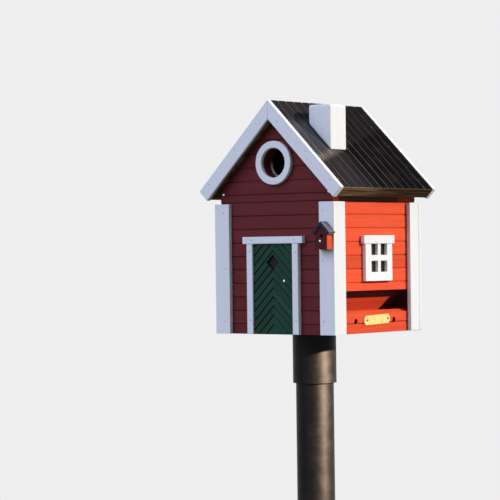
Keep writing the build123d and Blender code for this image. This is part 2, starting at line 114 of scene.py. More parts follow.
# Painted reflection: a rusty band below the chimney.
RUSTY_REFLECTION = (0.1650, 0.1150, 0.0950)
STAIN_LINE = (0.0560, 0.0490, 0.0500)
STAIN_OLIVE = (0.0300, 0.0300, 0.0180)
AGED_WOOD = (0.15, 0.098, 0.052)
AGED_WOOD_DARK = (0.040, 0.027, 0.015)
AGED_WOOD_PALE = (0.42, 0.33, 0.24)
BARE_WOOD = (0.42, 0.28, 0.15)
BARE_WOOD_DARK = (0.24, 0.145, 0.070)
# Painted light in the lower half of the liner's bore, and painted shade above.
BORE_PAINTED_LIGHT = (0.97, 0.81, 0.66)
BORE_PAINTED_SHADE = (0.060, 0.040, 0.028)
# Painted shade in corners and grooves.
CORNER_SHADE = (0.030, 0.024, 0.020)
DUST = (0.030, 0.028, 0.027)
# Tint of the gloss in the chimney's reflection.
REFLECTION_TINT = (0.70, 0.76, 1.0)
SMALL_ROOF_DARK = (0.012, 0.014, 0.022)
SMALL_ROOF_WORN = (0.040, 0.042, 0.055)
SMALL_ROOF_TOP = (0.10, 0.09, 0.115)
SMALL_ROOF_TOP_PALE = (0.18, 0.165, 0.20)
SMALL_ROOF_END = (0.22, 0.15, 0.085)
SMALL_ROOF_END_PALE = (0.46, 0.35, 0.22)

# Paint: how far its painted shade reaches from a corner, and the depth of its relief
CORNER_SHADE_REACH = 3.5 * MM
PIT_SHADE_REACH = 8 * MM
PAINT_RELIEF = 0.35 * MM

# Shifts of the grain from board to board, in metres, and what sets the door's halves apart
PLANK_SHIFT = 3.0
BOARD_SHIFT = 2.0
HALF_DOOR_NUMBER = 40.5

# Places on the walls, in metres. A pair says where a change begins and where it ends
EAVE_SHADE_FOOT = (144.8 * MM, 145.6 * MM)
EAVE_SHADE_END = (44 * MM, 48 * MM)
HOPPER_FOOT = 83 * MM
HOPPER_SHADE_SLANT = 0.65
HOPPER_SHADE_FOOT = (38.2 * MM, 39.8 * MM)
HOPPER_SHADE_END = (60.5 * MM, 63.5 * MM)
DOOR_MIDDLE = (-0.3 * MM, 0.3 * MM)
END_DEPTH = 2 * MM
BACK_CORNER = (30 * MM, 40 * MM)
BARE_EDGE = (HALF_LENGTH - 3.4 * MM, HALF_LENGTH - 2.8 * MM)

# The bore in the liner, from its middle outwards and upwards, and the eave of the tiny roof
BORE_EDGE = (16.3 * MM, 16.8 * MM)
BORE_FADE = (-6 * MM, 4 * MM)
SMALL_ROOF_TIP = (9.0 * MM, 9.6 * MM)

# Places on the roof, measured back from its middle, and the place and width of its worn beads
FRONT_FADE = (-54 * MM, -12 * MM)
RIDGE_FADE = (-60 * MM, 20 * MM)
BEAD_FADE = (-10 * MM, 40 * MM)
BEAD_SHIFT = 1.8 * MM
BEAD_WIDTH = (1.4 * MM, 2.8 * MM)
REFLECTION_ALONG = (-52 * MM, -42 * MM)
BAND_ALONG = (-44 * MM, -26 * MM)
EDGE_FADE = (-42 * MM, 0.0)
SPLINTER_FADE = (-45 * MM, -5 * MM)

# Places on the roof, measured down from the ridge or into the boards, and how edges slant and wander
# Where the painted reflection below the ridge ends, and how its edge slants and wanders
REFLECTION_END = (64 * MM, 71 * MM)
REFLECTION_SLANT = 0.325
REFLECTION_WANDER = 16 * MM
REFLECTION_DOWN = (26 * MM, 46 * MM)
BAND_MIDDLE = 66.5 * MM
BAND_WIDTH = (2 * MM, 8 * MM)
SPLINTER_DEPTH = (1.6 * MM, 2.8 * MM)
SPLINTER_WANDER = 2.4 * MM


# The colour sockets of a Mix node
MIX_COLOUR_A = 6
MIX_COLOUR_B = 7
MIX_COLOUR_OUT = 2


class Nodes:
    """Short calls for the nodes of a tree."""

    def __init__(self, tree):
        self.tree = tree

    def add(self, kind, **settings):
        made = self.tree.nodes.new(kind)
        for key, value in settings.items():
            setattr(made, key, value)
        return made

    def feed(self, socket, value):
        if isinstance(value, bpy.types.NodeSocket):
            self.tree.links.new(value, socket)
        elif socket.type == "RGBA" and len(value) == 3:
            socket.default_value = (*value, 1.0)
        else:
            socket.default_value = value

    def math(self, operation, a, b=0.0):
        made = self.add("ShaderNodeMath", operation=operation)
        self.feed(made.inputs[0], a)
        self.feed(made.inputs[1], b)
        return made.outputs[0]

    def plus(self, a, b):
        return self.math("ADD", a, b)

    def minus(self, a, b):
        return self.math("SUBTRACT", a, b)

    def times(self, a, b):
        return self.math("MULTIPLY", a, b)

    def over(self, a, b):
        return self.math("DIVIDE", a, b)

    def size_of(self, a):
        return self.math("ABSOLUTE", a)

    def to_nearest(self, a):
        """The distance to the nearest whole number, from 0 to 0.5."""
        return self.size_of(self.minus(a, self.math("ROUND", a)))

    def dot(self, vector, direction):
        made = self.add("ShaderNodeVectorMath", operation="DOT_PRODUCT")
        self.feed(made.inputs[0], vector)
        made.inputs[1].default_value = direction
        return made.outputs["Value"]

    def combine(self, x, y, z):
        made = self.add("ShaderNodeCombineXYZ")
        for socket, value in zip(made.inputs, (x, y, z)):
            self.feed(socket, value)
        return made.outputs[0]

    def noise(self, vector, scale=1.0, detail=3.0, roughness=0.55, distortion=0.0):
        made = self.add("ShaderNodeTexNoise")
        self.feed(made.inputs["Vector"], vector)
        made.inputs["Scale"].default_value = scale
        made.inputs["Detail"].default_value = detail
        made.inputs["Roughness"].default_value = roughness
        made.inputs["Distortion"].default_value = distortion
        return made.outputs["Fac"]

    def ramp(self, value, low, high, out_low=0.0, out_high=1.0):
        made = self.add("ShaderNodeMapRange", interpolation_type="SMOOTHSTEP")
        self.feed(made.inputs["Value"], value)
        made.inputs["From Min"].default_value = low
        made.inputs["From Max"].default_value = high
        made.inputs["To Min"].default_value = out_low
        made.inputs["To Max"].default_value = out_high
        return made.outputs["Result"]

    def fall(self, value, low, high):
        """1 up to low and 0 from high on."""
        return self.ramp(value, low, high, 1.0, 0.0)

    def mix(self, factor, a, b, blend="MIX"):
        made = self.add("ShaderNodeMix", data_type="RGBA", blend_type=blend)
        self.feed(made.inputs[0], factor)
        self.feed(made.inputs[MIX_COLOUR_A], a)
        self.feed(made.inputs[MIX_COLOUR_B], b)
        return made.outputs[MIX_COLOUR_OUT]

    def shade(self, colour, factor):
        return self.mix(1.0, colour, self.combine(factor, factor, factor), blend="MULTIPLY")

    def random(self, value):
        made = self.add("ShaderNodeTexWhiteNoise", noise_dimensions="1D")
        self.feed(made.inputs["W"], value)
        return made.outputs["Value"]

    def crevice(self, distance):
        """1 in the open and towards 0 in corners and grooves."""
        made = self.add("ShaderNodeAmbientOcclusion", samples=6)
        made.inputs["Distance"].default_value = distance
        return made.outputs["AO"]

    def bump(self, height, strength, distance):
        made = self.add("ShaderNodeBump")
        made.inputs["Strength"].default_value = strength
        made.inputs["Distance"].default_value = distance
        self.feed(made.inputs["Height"], height)
        return made.outputs["Normal"]

    def plain(self, kind, colour):
        """A surface that has only a colour."""
        made = self.add(kind)
        self.feed(made.inputs["Color"], colour)
        return made.outputs[0]

    def blend(self, factor, a, b):
        """Two surfaces mixed by a factor."""
        made = self.add("ShaderNodeMixShader")
        for socket, value in zip(made.inputs, (factor, a, b)):
            self.feed(socket, value)
        return made.outputs[0]


class Shader(Nodes):
    """A material with a Principled surface, and the place and facing of the points on it."""

    def __init__(self, name, metallic=0.0, specular=0.5):
        self.material = bpy.data.materials.new(name)
        self.material.use_nodes = True
        super().__init__(self.material.node_tree)
        self.bsdf = self.tree.nodes["Principled BSDF"]
        self.bsdf.inputs["Metallic"].default_value = metallic
        self.bsdf.inputs["Specular IOR Level"].default_value = specular
        coordinates = self.add("ShaderNodeTexCoord")
        self.place = coordinates.outputs["Object"]
        self.normal = coordinates.outputs["Normal"]

    def along(self, direction, start=None):
        """The place along a direction, in metres from the origin or from the given start."""
        place = self.dot(self.place, direction)
        return place if start is None else self.minus(place, start)

    def facing(self, direction):
        """1 where the surface faces that way, and -1 where it faces away."""
        return self.dot(self.normal, direction)

    def stretch(self, x_scale, y_scale, z_scale):
        """The place with each of its coordinates times a scale."""
        return self.combine(
            self.times(self.along(X_AXIS), x_scale),
            self.times(self.along(Y_AXIS), y_scale),
            self.times(self.along(Z_AXIS), z_scale),
        )

    def finish(self, colour, roughness, normal):
        self.feed(self.bsdf.inputs["Base Color"], colour)
        self.feed(self.bsdf.inputs["Roughness"], roughness)
        self.feed(self.bsdf.inputs["Normal"], normal)
        return self.material


def grain_space(shader, along, across, shift=None):
    """Coordinates in metres along the grain, across it and through the board."""
    run = shader.along(along)
    if shift is not None:
        run = shader.plus(run, shift)
    return run, shader.along(across), shader.along(along.cross(across))


def stretched(shader, space, run_scale, cross_scale):
    """A vector whose noise is drawn out along the grain."""
    run, cross, through = space
    return shader.combine(
        shader.times(run, run_scale),
        shader.times(cross, cross_scale),
        shader.times(through, cross_scale),
    )


def scaled(colour, factor):
    return tuple(factor * channel for channel in colour)


def streaked(shader, factor, colour, streak):
    """A colour between a darker and a paler shade of itself."""
    return shader.mix(factor, scaled(colour, 1 - streak), scaled(colour, 1 + 0.8 * streak))


def painted_wood(name, colour, worn, along, across, gloss, specular, streak, relief, wear, corner_shade,
                 reach=CORNER_SHADE_REACH, plank=None, other=None, pit_shade=False):
    """Brushed paint over planed wood: streaks, plank tints, painted shade in corners and light wear.

    With other, a pair of a colour and a mask, the paint takes that colour where the mask is 1.
    The pits flag paints shade into the screw recesses, which go dark.
    """
    shader = Shader(name, specular=specular)
    tint = None
    shift = None
    if plank:
        tint = shader.random(plank(shader))
        shift = shader.times(tint, PLANK_SHIFT)
    space = grain_space(shader, along, across, shift)
    streaks = shader.noise(stretched(shader, space, 9, 240), detail=4)
    fibres = shader.noise(stretched(shader, space, 45, 1500), detail=3, roughness=0.65)
    brush = shader.noise(stretched(shader, space, 22, 620), detail=2)
    blotch = shader.noise(shader.place, scale=28, detail=3)

    tone = shader.plus(shader.times(streaks, 0.55), shader.times(brush, 0.45))
    brushed = shader.ramp(tone, 0.32, 0.68)
    base = streaked(shader, brushed, colour, streak)
    if other:
        other_colour, mask = other
        base = shader.mix(mask(shader), base, streaked(shader, brushed, other_colour, streak))
    if tint is not None:
        base = shader.shade(base, shader.ramp(tint, 0.0, 1.0, 0.88, 1.08))
    worn_places = shader.plus(shader.times(blotch, 0.6), shader.times(fibres, 0.5))
    base = shader.mix(shader.ramp(worn_places, 0.60, 0.74, 0.0, wear), base, worn)
    # Painted shade darkens the paint in corners and grooves.
    base = shader.mix(shader.ramp(shader.crevice(reach), 0.25, 0.95, corner_shade, 0.0), base, CORNER_SHADE)
    # Painted shade in the screw recesses.
    if pit_shade:
        base = shader.mix(shader.ramp(shader.crevice(PIT_SHADE_REACH), 0.15, 0.62, 0.92, 0.0), base, RED_PIT_SHADE)
    roughness = shader.ramp(brush, 0.2, 0.8, gloss - 0.07, gloss + 0.10)
    height = shader.plus(shader.times(fibres, 0.5), shader.times(streaks, 0.8))
    return shader.finish(base, roughness, shader.bump(height, 0.35 * relief, PAINT_RELIEF))


def red_paint(name, colour, worn, along, specular=0.12, wear=0.35, corner_shade=0.5, reach=CORNER_SHADE_REACH, other=None,
              pit_shade=False):
    """Red paint on horizontal boards."""
    return painted_wood(name, colour, worn, along, Z_AXIS, gloss=0.55, specular=specular, streak=0.10,
                        relief=1.2, wear=wear, corner_shade=corner_shade, reach=reach, plank=siding_plank, other=other,
                        pit_shade=pit_shade)


def white_paint(name, along, across, corner_shade=0.22, colour=WHITE, other=None):
    """White paint on trim."""
    return painted_wood(name, colour, WHITE_WORN, along, across, gloss=0.48, specular=0.25, streak=0.025,
                        relief=0.8, wear=0.25, corner_shade=corner_shade, other=other)


def siding_plank(shader):
    """The number of the siding board, counted up from the house's lower edge."""
    height = shader.along(Z_AXIS, HOUSE.z + SIDING_START)
    return shader.math("FLOOR", shader.over(height, SIDING_PITCH))


def at_right_end(shader, end_x):
    """1 on the faces that look to the right, close to the end of a piece."""
    at_end = shader.ramp(shader.along(X_AXIS), end_x - END_DEPTH, end_x - END_DEPTH / 2)
    return shader.times(shader.ramp(shader.facing(X_AXIS), 0.4, 0.6), at_end)


def sunny_end(shader):
    """1 on the right end of a front or back wall, where sunlight is painted on it."""
    return at_right_end(shader, front_high.x)


def eave_shadow(shader):
    """1 on the strip of a side wall under the eave, where the eave's shadow is painted."""
    height = shader.along(Z_AXIS, HOUSE.z)
    back = shader.along(Y_AXIS, HOUSE.y)
    return shader.times(shader.ramp(height, *EAVE_SHADE_FOOT), shader.fall(back, *EAVE_SHADE_END))


def facing_front(shader):
    """1 on the faces that look to the front."""
    return shader.fall(shader.facing(Y_AXIS), -0.6, -0.4)


def facing_front_at_back(shader):
    """1 on the front-facing edges of the boards at the back corners."""
    behind = shader.ramp(shader.along(Y_AXIS, HOUSE.y), *BACK_CORNER)
    return shader.times(facing_front(shader), behind)


def hopper_shadow(shader):
    """1 where the shadow of the wall above and of the far end is painted on the hopper board."""
    height = shader.along(Z_AXIS, HOUSE.z)
    back = shader.along(Y_AXIS, HOUSE.y)
    inward = shader.minus(HOPPER_FOOT, shader.size_of(shader.along(X_AXIS, HOUSE.x)))
    corner = shader.plus(back, shader.times(inward, HOPPER_SHADE_SLANT))
    under_wall = shader.ramp(height, *HOPPER_SHADE_FOOT)
    return shader.math("MAXIMUM", under_wall, shader.ramp(corner, *HOPPER_SHADE_END))


def barge_underside(out):
    """A mask of the back part of a barge board's lower edge, which was left unpainted."""
    def mask(shader):
        below = shader.fall(shader.facing(out), -0.8, -0.6)
        middle = shader.size_of(shader.along(Y_AXIS, HOUSE.y))
        behind = shader.fall(middle, *BARE_EDGE)
        return shader.times(below, behind)
    return mask


def roof_stain(shader, place_y, reflection_zone):
    """Dark stain, and a lighter stain with a painted reflection where the mask paler is 1. Both change from
    front to back.
    """
    lower = shader.mix(shader.fall(place_y, *FRONT_FADE), STAIN_DARK, STAIN_FRONT)
    ridge = shader.mix(shader.ramp(place_y, *RIDGE_FADE), STAIN_RIDGE_REFLECTED, STAIN_RIDGE_BACK_REFLECTED)
    return shader.mix(reflection_zone, lower, ridge)


def worn_beads(shader, top, place_y, fibres):
    """Pale lines where the beads beside the grooves are worn, and faint ones between them."""
    line = shader.mix(shader.ramp(place_y, *BEAD_FADE), STAIN_LINE, scaled(STAIN_LINE, 0.58))
    nearest = shader.to_nearest(shader.over(shader.plus(place_y, BEAD_SHIFT), ROOF_PITCH))
    strong = shader.fall(shader.times(nearest, ROOF_PITCH), *BEAD_WIDTH)
    top = shader.mix(shader.times(strong, shader.ramp(fibres, 0.2, 0.6, 0.45, 0.9)), top, line)
    halfway = shader.size_of(shader.minus(nearest, 0.5))
    return shader.mix(shader.ramp(halfway, 0.02, 0.09, 0.16, 0.0), top, line)


def chimney_reflection(shader, place_y, fallen, reflection_zone, strands):
    """The strength of the chimney's lilac reflection in front of it, which is partly painted and partly
    gloss.
    """
    lilac = shader.times(shader.fall(place_y, *REFLECTION_ALONG), shader.ramp(fallen, *REFLECTION_DOWN))
    return shader.times(shader.times(lilac, reflection_zone), shader.ramp(strands, 0.40, 0.60, 0.12, 1.15))


def chimney_reflection_band(shader, place_y, reached, strands):
    """The strength of a rusty band of painted reflection along the lower end of the lilac reflection."""
    away = shader.size_of(shader.minus(reached, BAND_MIDDLE))
    band = shader.times(shader.ramp(away, *BAND_WIDTH, 0.9, 0.0), shader.fall(place_y, *BAND_ALONG))
    return shader.times(band, shader.ramp(strands, 0.38, 0.60, 0.35, 1.0))


def aged_edge(shader, place_y, down, out):
    """Bare grey-brown edges with growth rings, splintered pale along the top at the front."""
    across_edge = shader.along(out)
    rings_place = shader.combine(
        shader.times(across_edge, 620),
        shader.times(shader.along(Y_AXIS), 14),
        shader.times(shader.along(down), 40),
    )
    rings = shader.noise(rings_place, detail=3, distortion=0.6)
    edge = shader.mix(shader.ramp(rings, 0.35, 0.65), AGED_WOOD_DARK, AGED_WOOD)
    edge = shader.shade(edge, shader.ramp(place_y, *EDGE_FADE, 2.0, 0.75))
    depth = shader.plus(shader.minus(RIDGE.dot(out), across_edge), shader.times(rings, SPLINTER_WANDER))
    splintered = shader.times(
        shader.ramp(depth, *SPLINTER_DEPTH, 0.85, 0.0),
        shader.ramp(place_y, *SPLINTER_FADE, 1.0, 0.3),
    )
    return shader.mix(splintered, edge, AGED_WOOD_PALE)


def stained_roof(name, down, out, marked):
    """Weathered stain on grooved boards with worn beads, lighter towards the ridge with a painted reflection,
    and aged bare edges.

    A marked slope has the chimney's lilac reflection in front of the chimney, partly painted and partly
    gloss, and a rusty band of painted reflection at its lower end.
    """
    shader = Shader(name, specular=0.0)
    place_y = shader.along(Y_AXIS, HOUSE.y)
    fallen = shader.along(down, RIDGE.dot(down))
    tint = shader.random(shader.math("FLOOR", shader.over(place_y, ROOF_PITCH)))
    space = grain_space(shader, down, Y_AXIS, shader.times(tint, BOARD_SHIFT))
    fibres = shader.noise(stretched(shader, space, 60, 1300), detail=4, roughness=0.7)
    streaks = shader.noise(stretched(shader, space, 16, 330), detail=4, roughness=0.6)
    patches = shader.noise(shader.place, scale=60, detail=4)
    wandering = shader.times(shader.minus(streaks, 0.5), REFLECTION_WANDER)
    reached = shader.plus(shader.plus(fallen, shader.times(place_y, REFLECTION_SLANT)), wandering)
    # Painted reflection: the stain is lighter from the ridge down to this wandering edge.
    reflection_zone = shader.fall(reached, *REFLECTION_END)

    top = roof_stain(shader, place_y, reflection_zone)
    top = worn_beads(shader, top, place_y, fibres)
    roughness = shader.ramp(fibres, 0.2, 0.8, 0.55, 0.85)
    if marked:
        strands = shader.noise(stretched(shader, space, 11, 640), detail=3, roughness=0.6)
        reflection_strength = chimney_reflection(shader, place_y, fallen, reflection_zone, strands)
        # Part of the chimney's reflection is painted into the colour; the rest is real gloss.
        top = shader.mix(shader.times(reflection_strength, 0.25), top, LILAC_REFLECTION)
        shader.feed(shader.bsdf.inputs["Specular IOR Level"], shader.times(reflection_strength, 0.45))
        shader.feed(shader.bsdf.inputs["Specular Tint"], REFLECTION_TINT)
        roughness = shader.minus(roughness, shader.times(reflection_strength, 0.30))
        # Painted reflection: a rusty band.
        top = shader.mix(chimney_reflection_band(shader, place_y, reached, strands), top, RUSTY_REFLECTION)
    top = shader.mix(shader.ramp(patches, 0.50, 0.72, 0.0, 0.35), top, STAIN_OLIVE)
    top = shader.shade(top, shader.ramp(streaks, 0.30, 0.70, 0.72, 1.25))
    top = shader.shade(top, shader.ramp(fibres, 0.30, 0.70, 0.80, 1.20))

    edge = aged_edge(shader, place_y, down, out)
    colour = shader.mix(shader.ramp(shader.facing(out), 0.5, 0.7), edge, top)
    height = shader.plus(shader.times(fibres, 0.7), shader.times(streaks, 0.6))
    return shader.finish(colour, roughness, shader.bump(height, 0.6, 0.4 * MM))


def small_walls(name):
    """The tiny house's red paint, with painted shade on its front and painted sunlight on its right side, as
    on the big walls.
    """
    shader = Shader(name, specular=0.10)
    grain = shader.noise(shader.stretch(700, 700, 70), detail=3)
    tone = shader.ramp(grain, 0.3, 0.7)
    # Painted shade on the front, painted sunlight on the right side.
    shaded_red = shader.mix(tone, scaled(RED_FRONT_SHADE, 0.40), scaled(RED_FRONT_SHADE, 0.64))
    sunlit_red = shader.mix(tone, scaled(RED_SUNNY, 0.82), RED_SUNNY)
    colour = shader.mix(at_right_end(shader, body_high.x), shaded_red, sunlit_red)
    # Painted shade in corners.
    colour = shader.mix(shader.ramp(shader.crevice(2 * MM), 0.25, 0.9, 0.5, 0.0), colour, CORNER_SHADE)
    return shader.finish(colour, shader.ramp(grain, 0.2, 0.8, 0.45, 0.65), shader.bump(grain, 0.3, 0.2 * MM))


def small_roof(name):
    """The tiny house's roof: blue-black faces, a lilac-grey top where it faces up, and bare eave ends."""
    shader = Shader(name, specular=0.10)
    patches = shader.noise(shader.place, scale=300, detail=4)
    grain = shader.noise(shader.stretch(900, 90, 900), detail=3)
    face = shader.mix(shader.ramp(patches, 0.4, 0.7), SMALL_ROOF_DARK, SMALL_ROOF_WORN)
    top = shader.mix(shader.ramp(grain, 0.35, 0.65), SMALL_ROOF_TOP, SMALL_ROOF_TOP_PALE)
    end = shader.mix(shader.ramp(grain, 0.3, 0.7), SMALL_ROOF_END, SMALL_ROOF_END_PALE)
    colour = shader.mix(shader.ramp(shader.facing(Z_AXIS), 0.4, 0.6), face, top)

    facing_down = shader.ramp(shader.facing(-Z_AXIS), 0.4, 0.6)
    facing_out = shader.ramp(shader.size_of(shader.facing(X_AXIS)), 0.4, 0.6)
    beyond = shader.size_of(shader.along(X_AXIS, MINI_X))
    at_end = shader.times(shader.times(facing_down, facing_out), shader.ramp(beyond, *SMALL_ROOF_TIP))
    colour = shader.mix(at_end, colour, end)
    return shader.finish(colour, shader.ramp(grain, 0.2, 0.8, 0.5, 0.75), shader.bump(grain, 0.4, 0.2 * MM))


def chevron_green(name):
    """Green paint whose grain follows the slanting boards on both halves of the door."""
    shader = Shader(name, specular=0.12)
    side = shader.along(X_AXIS, DOOR_X)
    spread = shader.size_of(side)
    height = shader.along(Z_AXIS, HOUSE.z + CHEVRON_START)
    rise = shader.plus(height, spread)
    boards = shader.over(rise, CHEVRON_PITCH)
    half = shader.times(shader.math("SIGN", side), HALF_DOOR_NUMBER)
    tint = shader.random(shader.plus(shader.math("FLOOR", boards), half))
    run = shader.plus(shader.minus(spread, height), shader.times(tint, BOARD_SHIFT))
    space = (run, rise, shader.along(Y_AXIS))
    streaks = shader.noise(stretched(shader, space, 10, 260), detail=4)
    fibres = shader.noise(stretched(shader, space, 40, 1100), detail=3, roughness=0.65)
    base = shader.mix(shader.ramp(streaks, 0.3, 0.7), scaled(GREEN, 0.80), scaled(GREEN, 1.2))
    base = shader.shade(base, shader.ramp(tint, 0.0, 1.0, 0.82, 1.18))
    base = shader.mix(shader.ramp(fibres, 0.56, 0.75, 0.0, 0.5), base, GREEN_WORN)

    # Painted shade in the grooves of the left half; the lines midway between them are darkened too.
    nearest = shader.to_nearest(boards)
    groove_shade = shader.ramp(nearest, 0.06, 0.17, 0.8, 0.0)
    scratch = shader.ramp(nearest, 0.42, 0.49, 0.0, 0.3)
    on_left = shader.fall(side, *DOOR_MIDDLE)
    base = shader.mix(shader.times(shader.plus(groove_shade, scratch), on_left), base, GREEN_SHADE)
    # Painted shade in the corners, weaker on the right half.
    corners = shader.ramp(shader.crevice(3 * MM), 0.25, 0.95, 0.6, 0.0)
    corners = shader.times(corners, shader.ramp(side, *DOOR_MIDDLE, 1.0, 0.35))
    base = shader.mix(corners, base, GREEN_SHADE)
    relief = shader.plus(shader.times(fibres, 0.5), shader.times(streaks, 0.7))
    roughness = shader.ramp(fibres, 0.2, 0.8, 0.42, 0.60)
    return shader.finish(base, roughness, shader.bump(relief, 0.35, PAINT_RELIEF))


def bare_wood(name, along, across, hole=None):
    """Planed softwood with growth lines.

    A hole's bore is pale with painted light in its lower half, and dark with painted shade above.
    """
    shader = Shader(name, specular=0.25)
    space = grain_space(shader, along, across)
    growth = shader.noise(stretched(shader, space, 7, 320), detail=3, distortion=0.4)
    fibres = shader.noise(stretched(shader, space, 40, 1600), detail=3)
    colour = shader.mix(shader.ramp(growth, 0.38, 0.62), BARE_WOOD_DARK, BARE_WOOD)
    # Painted shade in corners.
    colour = shader.mix(shader.ramp(shader.crevice(6 * MM), 0.2, 0.9, 0.5, 0.0), colour, CORNER_SHADE)
    # Painted light in the bore's lower half, painted shade above.
    if hole:
        beside = shader.along(X_AXIS, hole.x)
        above = shader.along(Z_AXIS, hole.z)
        squared = shader.plus(shader.times(beside, beside), shader.times(above, above))
        bored = shader.fall(shader.math("SQRT", squared), *BORE_EDGE)
        inside = shader.mix(shader.ramp(above, *BORE_FADE), BORE_PAINTED_LIGHT, BORE_PAINTED_SHADE)
        colour = shader.mix(bored, colour, inside)
    return shader.finish(colour, shader.ramp(fibres, 0.2, 0.8, 0.6, 0.8), shader.bump(fibres, 0.3, 0.3 * MM))


def metal(name, colour, dull, roughness):
    """Metal with fine scratches and cloudy tarnish."""
    shader = Shader(name, metallic=1.0)
    cloud = shader.noise(shader.place, scale=240, detail=4)
    scratch = shader.noise(shader.stretch(900, 108, 2700), detail=2)
    tone = shader.plus(shader.times(cloud, 0.7), shader.times(scratch, 0.3))
    base = shader.mix(shader.ramp(tone, 0.35, 0.7), dull, colour)
    gloss = shader.ramp(tone, 0.3, 0.75, roughness + 0.18, roughness)
    return shader.finish(base, gloss, shader.bump(scratch, 0.2, 0.05 * MM))


def powder_coat(name, colour, roughness, specular):
    """Satin black coating with a fine orange peel and a little dust."""
    shader = Shader(name, specular=specular)
    peel = shader.noise(shader.place, scale=1400, detail=2)
    dust = shader.noise(shader.place, scale=60, detail=5, roughness=0.7)
    base = shader.mix(shader.ramp(dust, 0.55, 0.8, 0.0, 0.3), colour, DUST)
    gloss = shader.ramp(dust, 0.35, 0.75, roughness, roughness + 0.12)
    return shader.finish(base, gloss, shader.bump(peel, 0.2, 0.06 * MM))


def gloss_pane(name, dark, smeared, specular):
    """Dark smooth sheet with faint smears."""
    shader = Shader(name, specular=specular)
    smear = shader.noise(shader.place, scale=90, detail=4, distortion=0.8)
    base = shader.mix(shader.ramp(smear, 0.35, 0.7), dark, smeared)
    return shader.finish(base, shader.ramp(smear, 0.3, 0.7, 0.25, 0.40), shader.bump(smear, 0.05, 0.1 * MM))


def dull_heads(name, colour, spots):
    """Small nail heads, dull and slightly stained."""
    shader = Shader(name, specular=0.3)
    cloud = shader.noise(shader.place, scale=700, detail=3)
    base = shader.mix(shader.ramp(cloud, 0.4, 0.65), colour, spots)
    return shader.finish(base, shader.ramp(cloud, 0.3, 0.7, 0.4, 0.6), shader.bump(cloud, 0.2, 0.05 * MM))


MATERIALS = {
    # Painted shade on the front, back and left walls; painted sunlight on the right side, the right tray and
    # the front wall's right end.
    "red_front": red_paint("red_front", RED_FRONT_SHADE, RED_WORN, X_AXIS, other=(RED_SUNNY, sunny_end)),
    # The back wall's inner face, which looks to the front, gets painted shade.
    "red_back": red_paint("red_back", RED_SHADY, RED_WORN, X_AXIS, other=(RED_INSIDE_SHADE, facing_front)),
    # The right side wall has painted sunlight, with the eave's shadow painted along its top.
    "red_right": red_paint("red_right", RED_SUNNY, RED_SUNNY_WORN, Y_AXIS, specular=0.05, wear=0.20,
                           other=(RED_EAVE_SHADOW, eave_shadow)),
    "red_tray": red_paint("red_tray", RED_SUNNY, RED_SUNNY_WORN, Y_AXIS, specular=0.05, wear=0.20, pit_shade=True),
    # The hopper board has painted sunlight, with painted shadow under the wall above and at the far end.
    "red_hopper": red_paint("red_hopper", RED_HOPPER_SUNLIT, RED_HOPPER_SHADE_AND_WEAR, Y_AXIS, specular=0.05, wear=0.06,
                            corner_shade=0.1, reach=4 * MM, other=(RED_HOPPER_SHADE_AND_WEAR, hopper_shadow)),
    "red_left": red_paint("red_left", RED_SHADY, RED_WORN, Y_AXIS),
    "red_small": small_walls("red_small"),
    # Painted skylight on the front-facing edges of the back corner boards.
    "white_upright": white_paint("white_upright", Z_AXIS, X_AXIS, other=(WHITE_PAINTED_SKYLIGHT, facing_front_at_back)),
    "white_front": white_paint("white_front", X_AXIS, Z_AXIS),
    # Painted light on the window trim's front-facing faces, and a paler white with nearly no corner shade on
    # the frames.
    "white_side": white_paint("white_side", Y_AXIS, Z_AXIS, other=(WHITE_PAINTED_LIGHT, facing_front)),
    "white_frame": white_paint("white_frame", Z_AXIS, Y_AXIS, corner_shade=0.02, colour=WHITE_FRAME_PAINTED_LIGHT,
                               other=(WHITE_PAINTED_LIGHT, facing_front)),
    "white_right_slope": white_paint("white_right_slope", RIGHT_DOWN, RIGHT_OUT,
                                     other=(OLIVE_WOOD, barge_underside(RIGHT_OUT))),
    "white_left_slope": white_paint("white_left_slope", LEFT_DOWN, LEFT_OUT,
                                    other=(OLIVE_WOOD, barge_underside(LEFT_OUT))),
    "roof_right": stained_roof("roof_right", RIGHT_DOWN, RIGHT_OUT, marked=True),
    "roof_left": stained_roof("roof_left", LEFT_DOWN, LEFT_OUT, marked=False),
    "roof_small": small_roof("roof_small"),
    "green": chevron_green("green"),
    "bare_front": bare_wood("bare_front", X_AXIS, Z_AXIS, ENTRANCE),
    "bare_flat": bare_wood("bare_flat", Y_AXIS, X_AXIS),
    "bright_steel": metal("bright_steel", (0.86, 0.86, 0.87), (0.55, 0.55, 0.56), 0.16),
    "zinc": metal("zinc", (0.10, 0.09, 0.085), (0.03, 0.027, 0.025), 0.5),
    "brass": metal("brass", (0.80, 0.62, 0.25), (0.50, 0.38, 0.145), 0.44),
    "brass_pin": metal("brass_pin", (0.30, 0.20, 0.09), (0.14, 0.09, 0.045), 0.45),
    "brad": dull_heads("brad", (0.24, 0.25, 0.31), (0.36, 0.36, 0.40)),
    "roof_nail": dull_heads("roof_nail", (0.075, 0.082, 0.105), (0.035, 0.035, 0.045)),
    "black_steel": powder_coat("black_steel", (0.0022, 0.0022, 0.0026), 0.38, 0.10),
    "black_plastic": powder_coat("black_plastic", (0.010, 0.010, 0.010), 0.5, 0.15),
    "pane": gloss_pane("pane", (0.026, 0.016, 0.009), (0.046, 0.030, 0.018), 0.22),
    "dark_pane": gloss_pane("dark_pane", (0.004, 0.004, 0.005), (0.010, 0.010, 0.011), 0.15),
}

